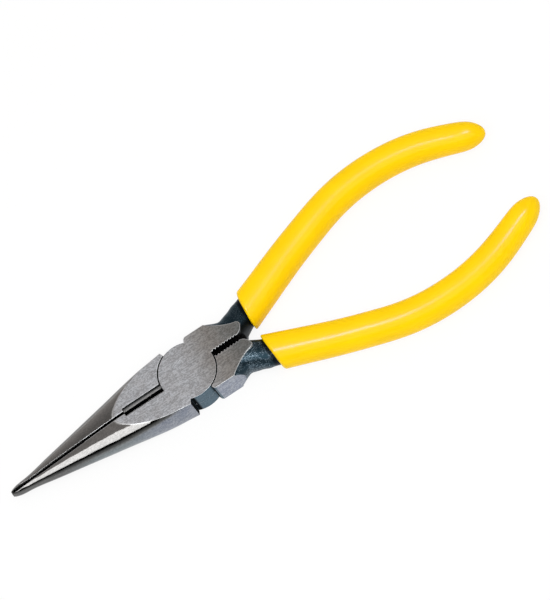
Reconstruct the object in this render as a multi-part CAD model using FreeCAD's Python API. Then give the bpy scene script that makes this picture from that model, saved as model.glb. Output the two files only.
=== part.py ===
import FreeCAD, Part
import math
import os

# Long-nose pliers with dipped grips, lying on the back face of the head.
# Millimetres. Origin: pivot axis on the rest plane. +X to the tip, +Z up.
# Each half is drawn about the mid-thickness of the head and raised at the end.
# The two halves are one shape: the second is the first turned over about X.

os.makedirs("parts", exist_ok=True)
V = FreeCAD.Vector

# ---- joint ----
HEAD_T = 9.0                # ground thickness of the head, face to face
DISC_R = 8.12               # joint disc of each half
DISC_FIT = 0.08             # disc in the recess of the other half, radial
LAYER_GAP = 0.04            # between the two lapped layers
JOINT_EDGE = 0.15           # edge break round a disc and its recess
NOTCH_DEG = 23.5            # notch walls, measured from the Y axis at the pivot

# ---- pivot rivet ----
SHANK_R = 2.6
HEAD_R = 3.6
HEAD_SINK = 1.5             # depth of the countersunk heads
RIVET_FIT = 0.05            # running fit in the back half

# ---- nose ----
TIP_X = 57.0
JAW_WALL = 0.55             # jaw root beyond the disc
NOSE_RISE = 1.444           # ridge of the raw nose at the pivot, in half thicknesses

# ---- jaw faces ----
FACE_Y = 0.03               # gripping face to the parting plane
CUTTER_LENGTH = 12.0        # from the edge of the disc
CUTTER_MOUTH_Y = 1.3        # half of the cutter recess at the head faces
CUTTER_THROAT_Y = 0.5
CUTTER_THROAT_T = 1.3       # depth of the throat below the head faces
RELIEF_Y = 0.4              # half of the plain gap behind the teeth
TEETH_LENGTH = 23.9         # toothed length, back from the tip
TOOTH_PITCH = 0.8
TOOTH_DEPTH = 0.42
TEETH_EDGE = 0.5            # edge break along the toothed faces

# ---- ears ----
EAR_WALL = 0.58             # ear beyond the disc
EAR_CORNER = 0.35           # corner of the ear at the notch
SLOT_Y = 0.75               # half of the slot between the ears
SERRATED_LENGTH = 8.0       # from the edge of the disc
SERRATION_PITCH = 0.95
SERRATION_DEPTH = 0.45
SIDE_GRIND = 5.42           # ground flank of the ear, from the disc

# ---- handles ----
NECK_LENGTH = 13.42         # from the disc to the lip of the coat
RIDGE_Y = 3.5               # ridge of the neck beside the slot
LIP_Y = 7.05                # middle of a handle at the lip
HANDLE_LENGTH = 81.0        # along X, from the lip to the end
BOW = 14.5                  # how far the handle bows out past its lip
TANG_SHORT = 6.0            # steel stops this far before the end

# ---- dipped grips ----
COAT = 1.25                 # coat thickness on the handles
GRIP_HALF_W = 4.64          # half width over the coat, beside the bow
GRIP_HALF_T = 4.45          # half thickness over the coat
LIP_ROUND = 0.7             # rounding of the lip
LIP_LEAN_DEG = 4.0          # the lip's cut lies back towards its outer side by this
SQUARE_SHARE = 0.1          # share of the path over which the lip's cut swings round
CAP_LENGTH = 6.5            # rounded end of a grip
FRONT_SHORT = 1.7           # the front coat ends this much sooner than the back one

# Nose stations: share of its length, half width and half height as shares of
# those at the root, superellipse power.
NOSE = [
    (0.0, 1.0, 1.0, 8.0),
    (0.08, 1.0, 0.946, 8.0),
    (0.15, 0.999, 0.892, 5.0),
    (0.219, 0.973, 0.838, 4.1),
    (0.279, 0.928, 0.791, 3.5),
    (0.345, 0.871, 0.734, 3.0),
    (0.404, 0.814, 0.687, 2.6),
    (0.48, 0.731, 0.634, 2.4),
    (0.566, 0.629, 0.566, 2.3),
    (0.679, 0.493, 0.474, 2.2),
    (0.809, 0.333, 0.358, 2.1),
    (0.913, 0.209, 0.277, 2.1),
    (0.99, 0.115, 0.209, 2.1),
    (1.0, 0.080, 0.165, 2.1),
]

# Raw neck stations: share of its length, share of the way from the ridge to
# the lip's middle, turn in degrees, inner reach as a share of the ridge's
# place, outer reach as a share of what lies outside it, half height in half
# thicknesses, inner and outer power.
NECK = [
    (0.046, 0.0, 0.0, 0.771, 1.327, 1.60, 4.0, 2.5),
    (0.113, 0.0, 0.0, 0.771, 1.192, 1.49, 4.0, 2.5),
    (0.188, 0.0, 0.0, 0.771, 1.125, 1.36, 4.0, 2.5),
    (0.262, 0.0, 0.0, 0.771, 1.048, 1.22, 4.0, 2.5),
    (0.344, 0.0, 0.0, 0.771, 0.956, 1.12, 4.0, 2.5),
    (0.434, 0.0, 0.0, 0.771, 0.900, 1.055, 4.0, 2.5),
    (0.538, 0.0, 0.0, 0.771, 1.010, 1.0, 4.0, 2.4),
    (0.65, 0.03, 2.0, 0.757, 1.087, 0.97, 3.6, 2.3),
    (0.762, 0.22, 6.0, 0.765, 1.058, 0.91, 3.0, 2.3),
    (0.881, 0.62, 13.0, 0.925, 0.913, 0.80, 2.6, 2.3),
]

# Outline of the ground flat on the ear: share of the neck's length, then how
# far inside the flank, and further round how far outside the slot, as shares
# of the ear's width.
FLAT_OUTER = [(0.143, 0.0), (0.210, 0.113), (0.307, 0.226), (0.538, 0.453), (0.724, 0.553)]
FLAT_INNER = [(0.724, 0.447), (0.771, 0.352), (0.741, 0.176), (0.663, 0.050), (0.551, 0.0)]

# Middle line of a handle: shares of its length and of its bow.
HANDLE_PATH = [
    (0.0, 0.0), (0.12, 0.283), (0.22, 0.511), (0.32, 0.715), (0.415, 0.884),
    (0.515, 0.984), (0.60, 1.0), (0.687, 0.957), (0.785, 0.826), (0.885, 0.606),
    (1.0, 0.34),
]
HANDLE_STATIONS = 24
LIP_STATIONS = 4
CROWDING = 1.35             # stations of a grip stand closer towards its lip
HANDLE_POWER = 2.3

# Grip stations: share of the path, half width and half thickness as shares.
GRIP = [
    (0.0, 1.105, 1.0),
    (0.12, 1.052, 1.004),
    (0.32, 1.0, 1.0),
    (0.55, 0.972, 0.989),
    (0.75, 0.934, 0.955),
    (0.88, 0.869, 0.898),
    (1.0, 0.72, 0.77),
]
CAP_STATIONS = (0.0, 0.25, 0.5, 0.7, 0.85, 0.94, 0.985)
CAP_POWER = 2.0

ARC_POINTS = 16
SEW = 1e-5
FAR = 200.0
MID = HEAD_T / 2.0
SIDE_Y = DISC_R + EAR_WALL
LIP_X = -DISC_R - NECK_LENGTH
TEETH_X = TIP_X - TEETH_LENGTH
EAR_WIDTH = SIDE_Y - SLOT_Y
NOSE_HALF_W = DISC_R + JAW_WALL
NOSE_HALF_H = MID * NOSE_RISE


def box(x0, x1, y0, y1, z0, z1):
    return Part.makeBox(x1 - x0, y1 - y0, z1 - z0, V(x0, y0, z0))


def section(centre, side, inner, outer, half_h, inner_power, outer_power):
    """Upper half of a superellipse, as points from the inner to the outer flank.

    side is the unit vector towards the outer flank. A higher power is squarer.
    """
    points = []
    for i in range(ARC_POINTS + 1):
        turn = math.pi - math.pi * i / ARC_POINTS
        c = math.cos(turn)
        s = math.sin(turn)
        power = outer_power if c > 0 else inner_power
        reach = outer if c > 0 else inner
        r = (abs(c) ** power + abs(s) ** power) ** (-1.0 / power)
        points.append(centre + side * (reach * r * c) + V(0, 0, half_h * r * s))
    return points


def skin(sections):
    """Solid through sections: an upper sheet, its mirror below and two flat ends."""
    sheets = []
    for up in (1, -1):
        sheet = Part.BSplineSurface()
        sheet.interpolate([[V(p.x, p.y, p.z * up) for p in row] for row in sections])
        sheets.append(sheet)
    faces = [sheet.toShape() for sheet in sheets]
    for share in (0.0, 1.0):
        rims = [sheet.uIso(share).toShape() for sheet in sheets]
        faces.append(Part.Face(Part.Wire(rims)))
    shell = Part.makeShell(faces)
    shell.sewShape(SEW)
    return Part.Solid(shell)


def spline(points):
    curve = Part.BSplineCurve()
    curve.interpolate([V(x, y, 0) for x, y in points])
    return curve


def smooth(rows):
    """Curve through rows of share and two values, read by share."""
    curve = Part.BSplineCurve()
    curve.interpolate(
        Points=[V(first, second, 0) for _, first, second in rows],
        Parameters=[share for share, _, _ in rows],
    )
    return curve


def prism(edges, z0, z1):
    face = Part.Face(Part.Wire(edges))
    face.translate(V(0, 0, z0))
    return face.extrude(V(0, 0, z1 - z0))


def through(edges):
    """Prism that runs past both faces of the head."""
    return prism(edges, -HEAD_T, HEAD_T)


def turned_over(shape):
    """The same shape on the other side: half a turn about the X axis."""
    copy = shape.copy()
    copy.rotate(V(0, 0, 0), V(1, 0, 0), 180)
    return copy


def comb(x0, length, pitch, y_face, depth):
    """Row of V grooves along Z, cut into the face at y_face from below it."""
    count = int(length / pitch)
    y_open = y_face - depth
    points = [V(x0, y_open, 0)]
    for i in range(count):
        points.append(V(x0 + pitch * i, y_face, 0))
        points.append(V(x0 + pitch * (i + 0.5), y_face + depth, 0))
    points.append(V(x0 + pitch * count, y_face, 0))
    points.append(V(x0 + pitch * count, y_open, 0))
    points.append(points[0])
    return through(Part.makePolygon(points).Edges)


# ---- nose and jaw ----

def nose_station(row):
    share, half_w, half_h, power = row
    return TIP_X * share, NOSE_HALF_W * half_w, NOSE_HALF_H * half_h, power


def teeth_edge_wedges():
    """Wedges that break the two long edges of the toothed face."""
    first = max(i for i, row in enumerate(NOSE) if TIP_X * row[0] < TEETH_X)
    wedges = []
    for sign in (1, -1):
        wires = []
        for row in NOSE[first:]:
            x, _, half_h, _ = nose_station(row)
            low = half_h - TEETH_EDGE - MID
            high = half_h + MID
            corners = [(-MID, low), (TEETH_EDGE + MID, high), (-MID, high)]
            points = [V(x, y, z * sign) for y, z in corners]
            wires.append(Part.makePolygon(points + points[:1]))
        wedge = Part.makeLoft(wires, True, True)
        wedges.append(wedge.common(box(TEETH_X, FAR, -FAR, FAR, -FAR, FAR)))
    return wedges


def cutter_recess():
    """Recess in which the two cutting edges meet at the mid-thickness."""
    throat_z = MID - CUTTER_THROAT_T
    upper = [
        (-FACE_Y, HEAD_T),
        (CUTTER_MOUTH_Y, HEAD_T),
        (CUTTER_MOUTH_Y, MID),
        (CUTTER_THROAT_Y, throat_z),
        (FACE_Y, 0.0),
    ]
    lower = [(y, -z) for y, z in reversed(upper[:-1])]
    points = [V(0, y, z) for y, z in upper + lower]
    face = Part.Face(Part.makePolygon(points + points[:1]))
    return face.extrude(V(DISC_R + CUTTER_LENGTH, 0, 0))


def jaw():
    """The +Y jaw from the notch wall to the tip."""
    sections = []
    for row in NOSE:
        x, half_w, half_h, power = nose_station(row)
        sections.append(section(V(x, 0, 0), V(0, 1, 0), half_w, half_w, half_h, power, power))
    body = skin(sections).common(box(0, FAR, FACE_Y, FAR, -MID, MID))
    reach = 2.0 * DISC_R
    wall = reach * math.tan(math.radians(NOTCH_DEG))
    corners = [V(0, 0, 0), V(wall, reach, 0), V(-FAR, reach, 0), V(-FAR, 0, 0)]
    body = body.cut(through(Part.makePolygon(corners + corners[:1]).Edges))
    body = body.cut(cutter_recess())
    body = body.cut(box(DISC_R + CUTTER_LENGTH, TEETH_X, 0, RELIEF_Y, -HEAD_T, HEAD_T))
    body = body.cut(comb(TEETH_X, TEETH_LENGTH, TOOTH_PITCH, FACE_Y, TOOTH_DEPTH))
    return body.cut(teeth_edge_wedges())


# ---- handle, neck and ear ----

def path_point(path, share):
    """Point of the path and the unit vector across it, towards the outer side."""
    first, last = path.FirstParameter, path.LastParameter
    u = first + (last - first) * share
    tangent = path.tangent(u)[0]
    return path.value(u), V(tangent.y, -tangent.x, 0).normalize()


def handle_section(path, share, coat, square=0.0, scale=1.0):
    """Section of a handle; square swings it from across the path to the lip's cut."""
    centre, across = path_point(path, share)
    lip = V(-math.tan(math.radians(LIP_LEAN_DEG)), 1, 0) * across.y
    side = (across * (1.0 - square) + lip * square).normalize()
    size = GRIP_SIZE.value(share)
    half_w = (GRIP_HALF_W * size.x - COAT + coat) * scale / side.dot(across)
    half_t = (GRIP_HALF_T * size.y - COAT + coat) * scale
    return section(centre, side, half_w, half_w, half_t, HANDLE_POWER, HANDLE_POWER)


def neck_section(back, share, turn, inner, outer, half_h, inner_power, outer_power):
    a = math.radians(turn)
    side = V(math.sin(a), math.cos(a), 0)
    centre = V(-DISC_R - NECK_LENGTH * back, RIDGE_Y + (LIP_Y - RIDGE_Y) * share, 0)
    inner_reach = RIDGE_Y * inner
    outer_reach = (SIDE_Y - RIDGE_Y) * outer
    return section(centre, side, inner_reach, outer_reach, half_h * MID, inner_power, outer_power)


def steel_handle(path):
    """Neck and tang of the +Y handle as forged, before grinding."""
    sections = [neck_section(*row) for row in NECK]
    last = 1.0 - TANG_SHORT / path.length()
    for i in range(HANDLE_STATIONS + 1):
        sections.append(handle_section(path, last * i / HANDLE_STATIONS, 0.0))
    return skin(sections)


def ear_and_handle(raw):
    """The +Y ear with its ground flats, running out into the steel handle."""
    lean = math.tan(math.radians(NOTCH_DEG))
    foot = V(-SLOT_Y * lean, SLOT_Y, 0)
    wall_end = V(-(SIDE_Y - EAR_CORNER) * lean, SIDE_Y - EAR_CORNER, 0)
    shoulder = V(-SIDE_Y * lean - EAR_CORNER, SIDE_Y, 0)
    outer = [(-DISC_R - NECK_LENGTH * a, SIDE_Y - EAR_WIDTH * b) for a, b in FLAT_OUTER]
    inner = [(-DISC_R - NECK_LENGTH * a, SLOT_Y + EAR_WIDTH * b) for a, b in FLAT_INNER]
    inner[0] = outer[-1]
    edges = [
        Part.LineSegment(foot, wall_end).toShape(),
        Part.LineSegment(wall_end, shoulder).toShape(),
        Part.LineSegment(shoulder, V(*outer[0], 0)).toShape(),
        spline(outer).toShape(),
        spline(inner).toShape(),
        Part.LineSegment(V(*inner[-1], 0), foot).toShape(),
    ]
    body = raw.fuse([through(edges)])
    body = body.common(box(-FAR, 0, -FAR, FAR, -MID, MID))
    body = body.cut(box(-DISC_R - SIDE_GRIND, 0, SIDE_Y, FAR, -HEAD_T, HEAD_T))
    body = body.cut(box(LIP_X, 0, -FAR, SLOT_Y, -HEAD_T, HEAD_T))
    start = -DISC_R - SERRATED_LENGTH
    return body.cut(comb(start, SERRATED_LENGTH, SERRATION_PITCH, SLOT_Y, SERRATION_DEPTH))


# ---- pieces ----

def half(raw):
    """One half: front joint disc, +Y jaw and -Y handle."""
    gap = LAYER_GAP / 2.0
    disc = Part.makeCylinder(DISC_R, MID - gap, V(0, 0, gap))
    rim = [e for e in disc.Edges if e.BoundBox.ZMin > gap]
    disc = disc.makeChamfer(JOINT_EDGE, rim)
    body = jaw().fuse([turned_over(ear_and_handle(raw))])
    r = DISC_R + DISC_FIT
    body = body.cut(Part.makeCylinder(r, HEAD_T + gap, V(0, 0, -HEAD_T)))
    body = body.cut(Part.makeCone(r + JOINT_EDGE, r, JOINT_EDGE, V(0, 0, -MID)))
    return body.fuse([disc]).removeSplitter()


def rivet(fit):
    """Rivet about the mid-thickness; fit is added all round for its hole."""
    r = SHANK_R + fit
    head = HEAD_R + fit
    profile = [
        (0, -MID), (head, -MID), (r, -MID + HEAD_SINK),
        (r, MID - HEAD_SINK), (head, MID), (0, MID),
    ]
    points = [V(x, 0, z) for x, z in profile]
    face = Part.Face(Part.makePolygon(points + points[:1]))
    return face.revolve(V(0, 0, 0), V(0, 0, 1), 360)


def grip(path, raw, short):
    """Dipped coat on the +Y handle: rounded lip, closed rounded end.

    short is how far before the end of the path the coat ends.
    """
    length = path.length()
    sections = []
    for i in range(LIP_STATIONS):
        a = math.pi / 2.0 * i / LIP_STATIONS
        share = LIP_ROUND * (1.0 - math.cos(a)) / length
        thickness = COAT - LIP_ROUND * (1.0 - math.sin(a))
        sections.append(handle_section(path, share, thickness, 1.0))
    start = LIP_ROUND / length
    cap = 1.0 - (CAP_LENGTH + short) / length
    for i in range(HANDLE_STATIONS):
        share = start + (cap - start) * (i / HANDLE_STATIONS) ** CROWDING
        square = max(0.0, 1.0 - share / SQUARE_SHARE)
        sections.append(handle_section(path, share, COAT, square))
    for s in CAP_STATIONS:
        scale = (1.0 - s ** CAP_POWER) ** (1.0 / CAP_POWER)
        share = cap + CAP_LENGTH / length * s
        sections.append(handle_section(path, share, COAT, 0.0, scale))
    return skin(sections).cut(raw)


GRIP_SIZE = smooth(GRIP)
path = spline([(LIP_X - HANDLE_LENGTH * a, LIP_Y + BOW * b) for a, b in HANDLE_PATH])
raw = steel_handle(path)
blank = half(raw)

NODES = {
    "front_half": blank.cut(rivet(0.0)),
    "back_half": turned_over(blank).cut(rivet(RIVET_FIT)),
    "pivot_rivet": rivet(0.0),
    "front_grip": turned_over(grip(path, raw, FRONT_SHORT)),
    "back_grip": grip(path, raw, 0.0),
}

for name, shape in NODES.items():
    shape.translate(V(0, 0, MID))
    shape.exportStep("parts/%s.step" % name)
    b = shape.optimalBoundingBox()
    spans = [(b.XMin, b.XMax), (b.YMin, b.YMax), (b.ZMin, b.ZMax)]
    text = ", ".join("%.2f..%.2f" % span for span in spans)
    print(name, len(shape.Solids), shape.isValid(), "%.1f mm3" % shape.Volume, text)
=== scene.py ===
"""Looks of the long-nose pliers: ground and oxide-dark steel, dipped grips and a plain studio."""

import math

import bpy
from bpy.props import FloatProperty, FloatVectorProperty, PointerProperty
from bpy.types import Operator, Panel, PropertyGroup
from mathutils import Matrix, Vector


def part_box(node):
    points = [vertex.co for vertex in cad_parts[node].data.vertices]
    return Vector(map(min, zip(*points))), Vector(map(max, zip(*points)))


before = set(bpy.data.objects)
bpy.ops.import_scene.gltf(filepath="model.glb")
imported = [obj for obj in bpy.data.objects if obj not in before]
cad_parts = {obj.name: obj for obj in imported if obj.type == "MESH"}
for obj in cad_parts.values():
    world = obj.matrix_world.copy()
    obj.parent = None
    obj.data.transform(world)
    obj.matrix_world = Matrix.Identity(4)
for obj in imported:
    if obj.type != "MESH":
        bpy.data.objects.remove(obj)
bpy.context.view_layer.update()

bl_info = {
    "name": "Long-nose pliers",
    "version": (1, 0, 0),
    "blender": (4, 5, 0),
    "location": "View3D > Sidebar > Pliers",
    "description": "Finishes the steel halves, the rivet and the dipped grips, and sets up a studio",
    "category": "Object",
}

HALVES = ("front_half", "back_half")
GRIPS = ("front_grip", "back_grip")
MM = 0.001

# Sizes of the halves, in millimetres, that the steel's finish follows.
DISC_R = 8.12
CUTTER_MOUTH = 1.3
CUTTER_END = 20.12
CUTTER_THROAT_DEPTH = 1.3
GAP_HALF = 0.55
SLOT_HALF = 1.2

# Colours of the steel besides those that a user would change.
BLACK = (0.003, 0.0035, 0.004, 1.0)
EAR_GROUND = (0.45, 0.435, 0.42, 1.0)
EAR_END_GROUND = (0.275, 0.285, 0.28, 1.0)
BROWN_CLOUD = (0.2, 0.14, 0.1, 1.0)
FLANK_DARK = (0.255, 0.285, 0.36, 1.0)
FLANK_PALE = (0.35, 0.375, 0.43, 1.0)
NOSE_ROOT = (0.24, 0.27, 0.285, 1.0)
NOSE_SIDE = (0.15, 0.15, 0.15, 1.0)
NOTCH_SKIN = (0.095, 0.155, 0.20, 1.0)
NOTCH_SKIN_DULL = (0.055, 0.10, 0.135, 1.0)
NECK_FLECK = (0.22, 0.29, 0.35, 1.0)
# Painted highlight along the sharp edges.
EDGE_HIGHLIGHT = (0.85, 0.87, 0.89, 1.0)
CUTTER_BEVEL = (0.95, 0.95, 0.95, 1.0)

# How much each layer covers of what lies under it, 1 being all.
DULL_ON_GROUND = 0.4
DULL_ON_NOSE = 0.25
BROWN_ON_GROUND = 0.12
DARK_ON_JAWS = 0.2
# Painted dark reflection on the shoulder of the nose.
DARK_REFLECTION_ON_SHOULDER = 0.45
# Painted shade between the necks and by the grips' lips, and on the walls of the notch.
SHADE_ON_NECKS = 0.8
SHADE_ON_NOTCH_WALL = 0.97
# Painted highlight on the edges.
HIGHLIGHT_ON_EDGES = 0.8

# Noises: scale to the millimetre, detail, and stretch along the axes.
BRUSH_LINES = (1.0, 2.0, (0.3, 3.5, 3.5))
STEEL_GRAIN = (1.0, 1.0, (2.0, 3.4, 3.4))
STEEL_CLOUD = (0.35, 3.0)
NECK_SPECK = (4.6, 1.5)
NECK_PATCH = (0.45, 2.0)
COAT_CLOUD = (0.12, 2.0)
COAT_GRAIN = (3.0, 2.0)
COAT_SWELL = (0.25, 1.0)

# Shares of the grain in the mottle, whose rest is lines, and of the cloud in the flanks' tone.
MOTTLE_GRAIN = 0.6
TONE_CLOUD = 0.5

# Every pair from here to the roughness is a step: where it is 0, then where it is 1.
# Along the part, in millimetres from the pivot towards the tip.
EARS = (2.0, -10.0)
EAR_ENDS = (-8.0, -17.0)
NECKS = (-6.0, -10.0)
JAWS = (-2.0, 2.0)
NOSE_BEGINS = (12.0, 26.0)
NOSE_DARKENS = (28.0, 45.0)
NOTCH_CORNER = (1.7, 2.5)
CUTTER_LENGTH = (CUTTER_END + 0.3, CUTTER_END + 0.1)
# Along the part, in millimetres from a wall of the notch and from the lip of a grip.
PAST_NOTCH = (0.05, 0.12)
BESIDE_NOTCH = (0.0, 0.2)
BY_LIP = (1.0, 0.3)
# Across the part, in millimetres from its middle.
BETWEEN_NECKS = (5.0, 3.0)
FLECKED_SIDE = (-3.0, 3.0)
OUTER_NOTCH = (DISC_R - 1.0, DISC_R - 0.5)
CUTTER_WIDTH = (CUTTER_MOUTH + 0.06, CUTTER_MOUTH)
GAP_WIDTH = (GAP_HALF + 0.05, GAP_HALF)
SLOT_WIDTH = (SLOT_HALF + 0.25, SLOT_HALF)
# Out from the pivot, in millimetres, and the same from the rivet's rim.
RING_INNER = (DISC_R - 0.3, DISC_R - 0.2)
RING_OUTER = (DISC_R + 0.4, DISC_R + 0.3)
ROUND_RIVET = (0.5, 0.8)
# Into the part, in millimetres from its nearer face.
FACE = (0.04, 0.01)
RING_DEPTH = (0.3, 0.2)
RIM_DEPTH = (0.12, 0.06)
BEVEL_DEPTH = (0.2 * CUTTER_THROAT_DEPTH, CUTTER_THROAT_DEPTH)
# In how far the surface faces along an axis.
UPRIGHT = (0.88, 0.82)
SQUARE_ON = (0.9, 0.97)
NOTCH_WALL = (0.86, 0.9)
BEVEL_LEAN = (0.35, 0.45)
NOSE_FLANK = (0.75, 0.98)
SHOULDER_BEGINS = (0.54, 0.60)
SHOULDER_ENDS = (0.95, 0.80)
TURNED_IN = (-0.1, -0.6)
# In the noises, in how open a place is, and in how alike the rounded and sharp faces point.
DULL = (0.62, 0.38)
CLOUDED = (0.62, 0.40)
PALE = (0.42, 0.58)
SPECKED = (0.50, 0.64)
PATCHED = (0.34, 0.54)
COAT_TONE = (0.3, 0.7)
ENCLOSED = (0.88, 0.66)
CREASED = (0.992, 0.95)

# The flank is a band this far either way of the side of a half, full and then gone.
FLANK_FULL = 0.1
FLANK_GONE = 0.2

# Share of the flecks that the side with fewer keeps.
FEW_FLECKS = 0.3

# Roughness: the nose's from dull to bright, what is added to it, the least at an edge with a
# painted highlight, and what a cutter's bevel takes away.
NOSE_ROUGH = (0.10, 0.06)
GROUND_ROUGHER = 0.42
OXIDE_ROUGHER = 0.34
EDGE_ROUGH = 0.4
BEVEL_SMOOTHER = 0.5

# Relief of the brushing and of the oxide skin, as shares except for its height.
RELIEF_HEIGHT = 0.01 * MM
RELIEF_STRENGTH = 0.25
RELIEF_ON_NOSE = 0.1
PATCH_RELIEF = 2.0

# How far round a place the look for open air goes, and how many looks it and the edges get.
AIR_REACH = 4.0 * MM
LOOKS = 8

# Coat of the grips: darker tone, extra roughness, share of the grain in the relief, and gloss.
COAT_DARKER = 0.96
COAT_ROUGHER = 0.04
COAT_GRAIN_RELIEF = 0.04
COAT_IOR = 1.17

# Lamps: lean in degrees from overhead towards +X and +Y, distance, and size of the face.
SOFTBOX = ((0.0, 22.5), 1.3, (1.9, 0.92))
FILL = ((0.0, 0.0), 1.6, (2.4, 2.4))
STRIPS = {
    "strip_front": ((9.0, -7.0), 1.15, (0.34, 0.13)),
    "strip_back": ((-22.0, -7.0), 1.15, (0.34, 0.13)),
}
STRIP_COLOUR = (0.25, 0.3, 1.0)

# Walls of the studio. Heights go from 0 at the floor to 1 overhead, and pairs are steps.
CEILING_BEGINS = (0.86, 0.90)
LIT_SIDE = (0.0, 0.3)
LIT_WALL_TOP = 0.45
LIT_WALL_LEVEL = 0.26
DARK_STRIP_FOOT = (0.35, 0.54)
DARK_STRIP_TOP = (0.82, 0.76)
DARK_STRIP_LEVEL = 0.02
WALL_COLOUR = (1.0, 0.95, 0.92, 1.0)
LIT_WALL_COLOUR = (0.97, 1.0, 1.0, 1.0)

# Floor: colour of the paper, and how much it glows to the eye and in the steel.
PAPER = (0.96, 0.96, 0.96, 1.0)
WHITE = (1.0, 1.0, 1.0, 1.0)
PAPER_GLOW = 0.88

# Camera: width of the sensor in millimetres, and the nearest and farthest that it sees.
SENSOR_WIDTH = 36.0
NEAREST = 0.01
FARTHEST = 100.0


# ---- sizes and colours that can be changed ----

class SteelFinish(PropertyGroup):
    ground: FloatVectorProperty(
        name="Ground steel",
        description="Colour of the ground flats of the head",
        subtype="COLOR", size=3, min=0.0, max=1.0, default=(0.745, 0.77, 0.815),
    )
    polished: FloatVectorProperty(
        name="Polished steel",
        description="Colour of the round nose",
        subtype="COLOR", size=3, min=0.0, max=1.0, default=(0.30, 0.295, 0.29),
    )
    oxide: FloatVectorProperty(
        name="Forging oxide",
        description="Colour of the dark skin left on the necks",
        subtype="COLOR", size=3, min=0.0, max=1.0, default=(0.019, 0.037, 0.050),
    )
    edge: FloatProperty(
        name="Edge break",
        description="Radius to which sharp edges look rounded",
        unit="LENGTH", min=0.0, default=0.3 * MM,
    )
    notch: FloatProperty(
        name="Notch angle",
        description="Angle of the notch walls, from the line across the joint",
        unit="ROTATION", subtype="ANGLE", default=math.radians(23.5),
    )


class GripFinish(PropertyGroup):
    coat: FloatVectorProperty(
        name="Coat",
        description="Colour of the dipped coat",
        subtype="COLOR", size=3, min=0.0, max=1.0, default=(1.0, 0.64, 0.003),
    )
    roughness: FloatProperty(
        name="Roughness",
        description="How dull the coat is",
        subtype="FACTOR", min=0.0, max=1.0, default=0.22,
    )
    ripple: FloatProperty(
        name="Ripple",
        description="Height of the soft unevenness of the coat",
        unit="LENGTH", min=0.0, default=0.02 * MM,
    )


class Studio(PropertyGroup):
    azimuth: FloatProperty(
        name="Camera azimuth",
        description="Direction of the camera about the vertical, from +X towards +Y",
        unit="ROTATION", subtype="ANGLE", default=math.radians(93.951),
    )
    elevation: FloatProperty(
        name="Camera elevation",
        description="Angle of the camera above the floor",
        unit="ROTATION", subtype="ANGLE", default=math.radians(64.724),
    )
    roll: FloatProperty(
        name="Camera roll",
        description="Turn of the camera about its own line of sight",
        unit="ROTATION", subtype="ANGLE", default=math.radians(37.000),
    )
    distance: FloatProperty(
        name="Camera distance",
        description="From the camera to the point that it aims at",
        unit="LENGTH", min=0.1, default=1.88,
    )
    lens: FloatProperty(
        name="Lens",
        description="Focal length in millimetres",
        unit="CAMERA", min=1.0, default=425.5,
    )
    aim: FloatVectorProperty(
        name="Aim point",
        description="Point that the camera aims at",
        subtype="XYZ", unit="LENGTH", size=3, default=(-0.02981, -0.00293, 0.00941),
    )
    floor: FloatProperty(
        name="Floor",
        description="Side of the square floor",
        unit="LENGTH", min=0.1, default=16.0,
    )
    box_level: FloatProperty(
        name="Softbox",
        description="How bright the face of the softbox is, white being 1",
        min=0.0, default=2.6,
    )
    fill_level: FloatProperty(
        name="Fill",
        description="How bright the lamp overhead is that only dull surfaces catch, white being 1",
        min=0.0, default=0.56,
    )
    strip_level: FloatProperty(
        name="Strip lamps",
        description="How bright the two strip lamps are, white being 1",
        min=0.0, default=150.0,
    )
    wall_low: FloatProperty(
        name="Foot of the walls",
        description="How bright the walls of the studio are at the floor, white being 1",
        min=0.0, default=0.72,
    )
    wall_high: FloatProperty(
        name="Top of the walls",
        description="How bright the walls of the studio become towards the ceiling, white being 1",
        min=0.0, default=0.2,
    )
    ceiling: FloatProperty(
        name="Ceiling",
        description="How bright the ceiling of the studio is, white being 1",
        min=0.0, default=0.46,
    )


# ---- node graphs ----

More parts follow.
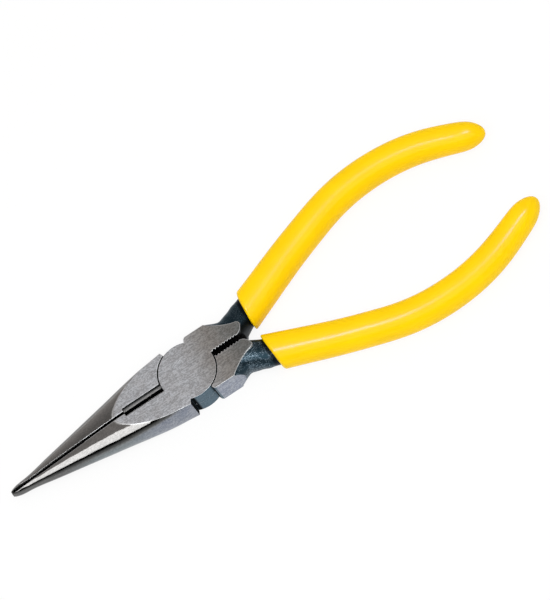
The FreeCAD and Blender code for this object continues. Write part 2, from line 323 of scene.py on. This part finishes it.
class Graph:
    """A node tree with short ways to add and join its nodes."""

    def __init__(self, owner):
        owner.use_nodes = True
        self.tree = owner.node_tree
        self.tree.nodes.clear()

    def add(self, kind, inputs=None, **settings):
        """New node; inputs maps sockets to values or to other nodes' outputs."""
        node = self.tree.nodes.new("ShaderNode" + kind)
        for name, value in settings.items():
            setattr(node, name, value)
        for socket, value in (inputs or {}).items():
            self.join(value, node.inputs[socket])
        return node

    def join(self, value, socket):
        """Links another node's output to the socket, or sets the socket to a plain value."""
        if isinstance(value, bpy.types.NodeSocket):
            self.tree.links.new(value, socket)
        else:
            socket.default_value = value

    def calc(self, operation, *values):
        """Result of a math node."""
        node = self.add("Math", operation=operation)
        for socket, value in zip(node.inputs, values):
            self.join(value, socket)
        return node.outputs[0]

    def step(self, value, low, high):
        """Smooth step: 0 below low and 1 above high, or the other way round."""
        node = self.add("MapRange", {"Value": value}, interpolation_type="SMOOTHSTEP")
        if low > high:
            low, high = high, low
            node.inputs["To Min"].default_value = 1.0
            node.inputs["To Max"].default_value = 0.0
        node.inputs["From Min"].default_value = low
        node.inputs["From Max"].default_value = high
        return node.outputs[0]

    def near(self, value, middle, full, gone):
        """Band: 1 where the value is within full of the middle, and 0 past gone from it."""
        return self.both(
            self.step(value, middle - gone, middle - full),
            self.step(value, middle + gone, middle + full),
        )

    def both(self, *masks):
        """Where all the masks hold, or a mask made weaker by a number."""
        result = masks[0]
        for mask in masks[1:]:
            result = self.calc("MULTIPLY", result, mask)
        return result

    def either(self, first, second):
        """Where at least one of two masks holds."""
        return self.calc("MAXIMUM", first, second)

    def without(self, mask):
        """Where the mask doesn't hold."""
        return self.calc("SUBTRACT", 1.0, mask)

    def blend(self, share, low, high):
        """Colour from low to high by share."""
        node = self.add("Mix", data_type="RGBA")
        sockets = (node.inputs[0], node.inputs[6], node.inputs[7])
        for socket, value in zip(sockets, (share, low, high)):
            self.join(value, socket)
        return node.outputs[2]

    def range(self, value, low, high):
        """Number from low to high by a share from 0 to 1."""
        return self.add(
            "MapRange", {"Value": value, "To Min": low, "To Max": high}
        ).outputs[0]

    def weigh(self, share, first, second):
        """Number made of a share of the first and the rest of the second."""
        return self.calc("ADD", self.both(first, share), self.both(second, 1.0 - share))

    def noise(self, place, scale, detail, stretch=(1.0, 1.0, 1.0)):
        """Noise, scale to the millimetre, stretched along the axes."""
        size = tuple(scale * s for s in stretch)
        spot = self.add("VectorMath", {0: place, 1: size}, operation="MULTIPLY").outputs[0]
        node = self.add("TexNoise", {"Vector": spot, "Scale": 1.0, "Detail": detail})
        return node.outputs["Fac"]

    def place(self):
        """Place on the part in millimetres, as one vector and as its three numbers."""
        spot = self.add("TexCoord").outputs["Object"]
        mm = self.add("VectorMath", {0: spot, "Scale": 1.0 / MM}, operation="SCALE").outputs[0]
        return mm, self.add("SeparateXYZ", {0: mm}).outputs

    def signed_facing(self, axis):
        """How far the surface points along an axis, from -1 to 1."""
        normal = self.add("TexCoord").outputs["Normal"]
        return self.add("SeparateXYZ", {0: normal}).outputs[axis]

    def facing(self):
        """How far the surface points along each axis, either way."""
        return [self.calc("ABSOLUTE", self.signed_facing(axis)) for axis in range(3)]

    def relief(self, height, **inputs):
        """Normal of steel with a relief of this height; inputs are the node's others."""
        return self.add("Bump", {
            "Strength": RELIEF_STRENGTH, "Distance": RELIEF_HEIGHT, "Height": height, **inputs,
        }).outputs[0]

    def metal(self, colour, rough, normal):
        """Metal surface, as the result of the tree."""
        shader = self.add("BsdfPrincipled", {
            "Base Color": colour, "Roughness": rough, "Metallic": 1.0, "Normal": normal,
        }).outputs[0]
        self.add("OutputMaterial", {"Surface": shader})


def rgba(colour, level=1.0):
    """Colour property as a socket's value, made darker by level."""
    return (colour[0] * level, colour[1] * level, colour[2] * level, 1.0)


def finish_node(name, material):
    """Gives a node of the frame its material."""
    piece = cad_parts[name]
    piece.data.materials.clear()
    piece.data.materials.append(material)


# ---- steel ----

class HalfPlaces:
    """Places on a half, as masks, with the measures that tell them apart."""

    def __init__(self, g, notch):
        self.place, (self.x, self.y, z) = g.place()
        self.across = g.calc("ABSOLUTE", self.y)
        squares = g.calc("ADD", g.calc("POWER", self.x, 2.0), g.calc("POWER", self.y, 2.0))
        self.radius = g.calc("SQRT", squares)
        low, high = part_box("front_half")
        half_t = (high.z - low.z) / 2.0 / MM
        off_middle = g.calc("ABSOLUTE", g.calc("SUBTRACT", z, half_t))
        self.depth = g.calc("SUBTRACT", half_t, off_middle)
        self.facing = g.facing()
        self.upright = g.step(self.facing[2], *UPRIGHT)
        self.flat = g.both(g.step(self.depth, *FACE), g.step(self.facing[2], *SQUARE_ON))

        lean = g.calc("MULTIPLY", self.across, math.tan(notch))
        self.ahead = g.step(g.calc("SUBTRACT", self.x, lean), *PAST_NOTCH)
        behind = g.without(self.ahead)
        flank = g.both(
            g.near(self.across, high.y / MM, FLANK_FULL, FLANK_GONE),
            g.step(self.facing[1], *SQUARE_ON),
        )
        self.oxide = g.both(behind, g.without(self.flat), g.without(flank))
        self.notch_wall = g.both(
            self.upright, g.step(self.across, *OUTER_NOTCH),
            g.either(g.step(self.facing[0], *NOTCH_WALL), g.step(self.x, *NOTCH_CORNER)),
        )

        cutter = g.both(g.step(self.x, *CUTTER_LENGTH), g.step(self.across, *CUTTER_WIDTH))
        seam = g.both(self.ahead, self.upright, g.either(cutter, g.step(self.across, *GAP_WIDTH)))
        slot = g.both(behind, self.upright, g.step(self.across, *SLOT_WIDTH))
        beside = g.step(g.calc("SUBTRACT", g.calc("ABSOLUTE", self.x), lean), *BESIDE_NOTCH)
        ring = g.both(
            beside, self.upright, g.step(self.depth, *RING_DEPTH),
            g.step(self.radius, *RING_INNER), g.step(self.radius, *RING_OUTER),
        )
        air = g.add("AmbientOcclusion", {"Distance": AIR_REACH}, samples=LOOKS).outputs["AO"]
        self.shade = g.either(g.both(g.either(seam, slot), g.step(air, *ENCLOSED)), ring)
        self.bevel = g.both(
            seam, cutter, g.step(self.facing[2], *BEVEL_LEAN), g.step(self.depth, *BEVEL_DEPTH)
        )


class SteelMarks:
    """Noises of ground steel: grain, cloud, the mottle of the brushing, and where it is dull."""

    def __init__(self, g, place):
        lines = g.noise(place, *BRUSH_LINES)
        self.grain = g.noise(place, *STEEL_GRAIN)
        self.cloud = g.noise(place, *STEEL_CLOUD)
        self.mottle = g.weigh(MOTTLE_GRAIN, self.grain, lines)
        self.dull = g.step(self.mottle, *DULL)


def ground_colour(g, x, marks, finish):
    """Ground flats, duller and darker along the ears."""
    ground = g.blend(g.step(x, *EARS), rgba(finish.ground), EAR_GROUND)
    ground = g.blend(g.step(x, *EAR_ENDS), ground, EAR_END_GROUND)
    ground = g.blend(g.both(marks.dull, DULL_ON_GROUND), ground, BLACK)
    brown = g.both(g.step(marks.cloud, *CLOUDED), BROWN_ON_GROUND)
    return g.blend(brown, ground, BROWN_CLOUD)


def nose_colour(g, at, marks, finish):
    """Polished round of the nose and blue-grey flanks, with a painted dark reflection on the
    shoulder between them.
    """
    tone = g.weigh(TONE_CLOUD, marks.cloud, marks.grain)
    flank = g.blend(g.step(tone, *PALE), FLANK_DARK, FLANK_PALE)
    flank = g.blend(g.both(g.step(at.x, *JAWS), DARK_ON_JAWS), flank, BLACK)
    flank = g.blend(g.step(at.x, *NOSE_BEGINS), flank, NOSE_ROOT)
    flank = g.blend(g.step(at.x, *NOSE_DARKENS), flank, NOSE_SIDE)
    nose = g.blend(g.step(at.facing[1], *NOSE_FLANK), rgba(finish.polished), flank)
    # Painted dark reflection: a band between the round and the flanks, by where the surface points.
    shoulder = g.both(
        g.step(at.facing[1], *SHOULDER_BEGINS), g.step(at.facing[1], *SHOULDER_ENDS)
    )
    nose = g.blend(g.both(shoulder, DARK_REFLECTION_ON_SHOULDER), nose, BLACK)
    return g.blend(g.both(marks.dull, DULL_ON_NOSE), nose, BLACK)


def oxide_colour(g, at, marks, speck, patch, finish):
    """Dark skin of the necks, worn to flecks, and of the notches, with painted shade between the
    necks, by the grips' lips and on the notch walls.
    """
    neck = g.step(at.x, *NECKS)
    skin = g.blend(marks.dull, NOTCH_SKIN, NOTCH_SKIN_DULL)
    skin = g.blend(neck, skin, rgba(finish.oxide))
    worn = g.both(
        neck, g.step(speck, *SPECKED), g.step(patch, *PATCHED),
        g.range(g.step(at.y, *FLECKED_SIDE), FEW_FLECKS, 1.0),
    )
    skin = g.blend(worn, skin, NECK_FLECK)
    # Painted shade: black on the necks' inner flanks where they face each other, and just ahead of
    # the grips' lips.
    outward = g.calc("MULTIPLY", g.signed_facing(1), g.calc("SIGN", at.y))
    between = g.both(g.step(outward, *TURNED_IN), g.step(at.across, *BETWEEN_NECKS))
    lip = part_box("back_grip")[1].x / MM
    neck_shade = g.either(between, g.step(at.x, *(lip + ahead for ahead in BY_LIP)))
    # Painted shade, nearly black, on the walls of the notch.
    painted_shade = g.either(g.both(neck_shade, SHADE_ON_NECKS), g.both(at.notch_wall, SHADE_ON_NOTCH_WALL))
    return g.blend(painted_shade, skin, BLACK)


def highlighted_edges(g, at, rounded):
    """Mask of the edges that get a painted highlight, clear of the rivet."""
    sharp = g.add("NewGeometry").outputs["Normal"]
    turn = g.add("VectorMath", {0: rounded, 1: sharp}, operation="DOT_PRODUCT").outputs["Value"]
    rivet_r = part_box("pivot_rivet")[1].x / MM
    off_rivet = g.step(at.radius, *(rivet_r + out for out in ROUND_RIVET))
    crease = g.both(g.step(turn, *CREASED), off_rivet)
    rim = g.both(at.ahead, g.without(at.flat), g.step(at.depth, *RIM_DEPTH))
    return g.both(g.either(crease, rim), g.without(at.upright))


def steel_material(finish):
    """Ground flats, polished nose and oxide-dark necks, told apart by place and direction."""
    material = bpy.data.materials.new("forged_steel")
    g = Graph(material)
    at = HalfPlaces(g, finish.notch)
    marks = SteelMarks(g, at.place)
    speck = g.noise(at.place, *NECK_SPECK)
    patch = g.noise(at.place, *NECK_PATCH)
    rounded = g.add("Bevel", {"Radius": finish.edge}, samples=LOOKS).outputs[0]
    edge = highlighted_edges(g, at, rounded)

    ground = ground_colour(g, at.x, marks, finish)
    colour = g.blend(at.flat, nose_colour(g, at, marks, finish), ground)
    colour = g.blend(at.oxide, colour, oxide_colour(g, at, marks, speck, patch, finish))
    # Painted highlight along the edges.
    colour = g.blend(g.both(edge, HIGHLIGHT_ON_EDGES), colour, EDGE_HIGHLIGHT)
    colour = g.blend(at.shade, colour, BLACK)
    colour = g.blend(at.bevel, colour, CUTTER_BEVEL)

    rough = g.range(marks.mottle, *NOSE_ROUGH)
    rough = g.calc("ADD", rough, g.both(at.flat, GROUND_ROUGHER))
    rough = g.calc("ADD", rough, g.both(at.oxide, OXIDE_ROUGHER))
    rough = g.calc("MAXIMUM", rough, g.both(edge, EDGE_ROUGH))
    rough = g.calc("MAXIMUM", rough, g.either(at.shade, g.both(at.oxide, at.notch_wall)))
    rough = g.calc("SUBTRACT", rough, g.both(at.bevel, BEVEL_SMOOTHER))

    brushed = g.both(marks.mottle, g.range(at.flat, RELIEF_ON_NOSE, 1.0))
    pitted = g.calc("ADD", speck, g.both(patch, PATCH_RELIEF))
    g.metal(colour, rough, g.relief(g.blend(at.oxide, brushed, pitted), Normal=rounded))
    return material


def rivet_material(finish):
    """Rivet ground with the disc round it."""
    material = bpy.data.materials.new("rivet_steel")
    g = Graph(material)
    place, (x, _, _) = g.place()
    marks = SteelMarks(g, place)
    rough = g.calc("ADD", g.range(marks.mottle, *NOSE_ROUGH), GROUND_ROUGHER)
    g.metal(ground_colour(g, x, marks, finish), rough, g.relief(marks.mottle))
    return material


# ---- grips ----

def grip_material(finish):
    """Dipped vinyl: semi-gloss, softly uneven."""
    material = bpy.data.materials.new("dipped_grip")
    g = Graph(material)
    place, _ = g.place()
    cloud = g.noise(place, *COAT_CLOUD)
    grain = g.noise(place, *COAT_GRAIN)
    swell = g.noise(place, *COAT_SWELL)
    shaded = rgba(finish.coat, COAT_DARKER)
    colour = g.blend(g.step(cloud, *COAT_TONE), rgba(finish.coat), shaded)
    rougher = finish.roughness + COAT_ROUGHER
    rough = g.range(g.step(grain, *COAT_TONE), finish.roughness, rougher)
    height = g.calc("ADD", swell, g.calc("MULTIPLY", grain, COAT_GRAIN_RELIEF))
    bump = g.add(
        "Bump", {"Strength": 1.0, "Distance": finish.ripple, "Height": height}
    ).outputs[0]
    shader = g.add("BsdfPrincipled", {
        "Base Color": colour, "Roughness": rough, "IOR": COAT_IOR, "Normal": bump,
    }).outputs[0]
    g.add("OutputMaterial", {"Surface": shader})
    return material


# ---- studio ----

def floor_sheet(side):
    """Flat square under the part, facing up."""
    half = side / 2.0
    corners = [(-half, -half, 0.0), (half, -half, 0.0), (half, half, 0.0), (-half, half, 0.0)]
    mesh = bpy.data.meshes.new("floor")
    mesh.from_pydata(corners, [], [(0, 1, 2, 3)])
    piece = bpy.data.objects.new("floor", mesh)
    bpy.context.scene.collection.objects.link(piece)
    return piece


def floor_material():
    """White paper: it keeps a soft shadow and reads as white to the camera and in the steel."""
    material = bpy.data.materials.new("white_paper")
    g = Graph(material)
    paper = g.add("BsdfDiffuse", {"Color": PAPER}).outputs[0]
    glow = g.add("Emission", {"Color": WHITE, "Strength": 1.0}).outputs[0]
    seen = g.add("LightPath").outputs
    direct = g.either(seen["Is Camera Ray"], seen["Is Glossy Ray"])
    direct = g.either(direct, seen["Is Transmission Ray"])
    surface = g.add("MixShader", {0: g.both(direct, PAPER_GLOW), 1: paper, 2: glow}).outputs[0]
    g.add("OutputMaterial", {"Surface": surface})
    return material


def world_light(studio):
    """Walls and ceiling of the studio, with a dark strip beside the softbox."""
    world = bpy.data.worlds.new("studio")
    bpy.context.scene.world = world
    g = Graph(world)
    _, side, up = g.add("SeparateXYZ", {0: g.add("TexCoord").outputs["Generated"]}).outputs
    wall = g.range(up, studio.wall_low, studio.wall_high)
    wall = g.add("Mix", {0: g.step(up, *CEILING_BEGINS), 2: wall, 3: studio.ceiling}).outputs[0]
    lit_wall = g.add("MapRange", {
        "Value": up, "From Max": LIT_WALL_TOP,
        "To Min": studio.wall_low, "To Max": LIT_WALL_LEVEL,
    }, interpolation_type="SMOOTHSTEP").outputs[0]
    lit_side = g.step(side, *LIT_SIDE)
    level = g.add("Mix", {0: lit_side, 2: wall, 3: lit_wall}).outputs[0]
    strip = g.both(lit_side, g.step(up, *DARK_STRIP_FOOT), g.step(up, *DARK_STRIP_TOP))
    level = g.calc("MULTIPLY", level, g.range(strip, 1.0, DARK_STRIP_LEVEL))
    colour = g.blend(lit_side, WALL_COLOUR, LIT_WALL_COLOUR)
    dome = g.add("Background", {"Color": colour, "Strength": level}).outputs[0]
    g.add("OutputWorld", {"Surface": dome})


def area_lamp(name, level, lean, distance, size):
    """Area lamp that faces the part, leaning from overhead by degrees towards +X and +Y."""
    lamp = bpy.data.lights.new(name, "AREA")
    lamp.shape = "RECTANGLE"
    lamp.size, lamp.size_y = size
    lamp.energy = level * math.pi * size[0] * size[1]
    holder = bpy.data.objects.new(name, lamp)
    holder.matrix_world = (
        Matrix.Rotation(math.radians(lean[0]), 4, "Y")
        @ Matrix.Rotation(math.radians(-lean[1]), 4, "X")
        @ Matrix.Translation((0.0, 0.0, distance))
    )
    bpy.context.scene.collection.objects.link(holder)
    return holder


def add_lamps(studio):
    """Softbox for everything, fill for dull surfaces and two strips for the gloss of the grips."""
    area_lamp("softbox", studio.box_level, *SOFTBOX)
    fill = area_lamp("fill", studio.fill_level, *FILL)
    fill.visible_glossy = False
    lit = bpy.data.collections.new("lit_by_strips")
    for name in GRIPS:
        lit.objects.link(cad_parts[name])
    for name, spot in STRIPS.items():
        strip = area_lamp(name, studio.strip_level, *spot)
        strip.data.color = STRIP_COLOUR
        strip.visible_diffuse = False
        strip.light_linking.receiver_collection = lit


def add_camera(studio):
    """Long lens, set by where it looks from and how it is rolled."""
    camera = bpy.data.cameras.new("camera")
    camera.lens = studio.lens
    camera.sensor_width = SENSOR_WIDTH
    camera.clip_start = NEAREST
    camera.clip_end = FARTHEST
    holder = bpy.data.objects.new("camera", camera)
    bpy.context.scene.collection.objects.link(holder)
    level = math.cos(studio.elevation)
    back = Vector((
        level * math.cos(studio.azimuth),
        level * math.sin(studio.azimuth),
        math.sin(studio.elevation),
    ))
    right = Vector((-math.sin(studio.azimuth), math.cos(studio.azimuth), 0.0))
    up = back.cross(right)
    turned = Matrix.Rotation(-studio.roll, 3, back)
    right, up = turned @ right, turned @ up
    holder.matrix_world = Matrix((
        (right.x, up.x, back.x, 0.0),
        (right.y, up.y, back.y, 0.0),
        (right.z, up.z, back.z, 0.0),
        (0.0, 0.0, 0.0, 1.0),
    ))
    holder.location = Vector(studio.aim) + back * studio.distance
    bpy.context.scene.camera = holder


# ---- operators ----

class PLIERS_OT_steel_halves(Operator):
    """Finish the two forged halves"""
    bl_idname = "pliers.steel_halves"
    bl_label = "Steel halves"

    def execute(self, context):
        material = steel_material(context.scene.pliers_steel)
        for name in HALVES:
            finish_node(name, material)
        return {"FINISHED"}


class PLIERS_OT_rivet(Operator):
    """Finish the pivot rivet"""
    bl_idname = "pliers.rivet"
    bl_label = "Pivot rivet"

    def execute(self, context):
        finish_node("pivot_rivet", rivet_material(context.scene.pliers_steel))
        return {"FINISHED"}


class PLIERS_OT_grips(Operator):
    """Finish the two dipped grips"""
    bl_idname = "pliers.grips"
    bl_label = "Dipped grips"

    def execute(self, context):
        material = grip_material(context.scene.pliers_grips)
        for name in GRIPS:
            finish_node(name, material)
        return {"FINISHED"}


class PLIERS_OT_stage(Operator):
    """Set up the floor, the walls, the lamps and the camera"""
    bl_idname = "pliers.stage"
    bl_label = "Stage"

    def execute(self, context):
        studio = context.scene.pliers_studio
        context.scene.view_settings.view_transform = "Standard"
        floor = floor_sheet(studio.floor)
        floor.data.materials.append(floor_material())
        world_light(studio)
        add_lamps(studio)
        add_camera(studio)
        return {"FINISHED"}


class PLIERS_PT_panel(Panel):
    """The pieces, in the order in which they are finished"""
    bl_idname = "PLIERS_PT_panel"
    bl_label = "Long-nose pliers"
    bl_space_type = "VIEW_3D"
    bl_region_type = "UI"
    bl_category = "Pliers"

    def draw(self, context):
        for operator in STEPS:
            self.layout.operator(operator.bl_idname)


STEPS = (PLIERS_OT_steel_halves, PLIERS_OT_rivet, PLIERS_OT_grips, PLIERS_OT_stage)
SETTINGS = {"pliers_steel": SteelFinish, "pliers_grips": GripFinish, "pliers_studio": Studio}


def register():
    for cls in (*SETTINGS.values(), *STEPS, PLIERS_PT_panel):
        bpy.utils.register_class(cls)
    for name, group in SETTINGS.items():
        setattr(bpy.types.Scene, name, PointerProperty(type=group))


def unregister():
    for name in SETTINGS:
        delattr(bpy.types.Scene, name)
    for cls in (PLIERS_PT_panel, *reversed(STEPS), *reversed(SETTINGS.values())):
        bpy.utils.unregister_class(cls)


def main():
    register()
    bpy.ops.pliers.steel_halves()
    bpy.ops.pliers.rivet()
    bpy.ops.pliers.grips()
    bpy.ops.pliers.stage()


if __name__ == "__main__":
    main()
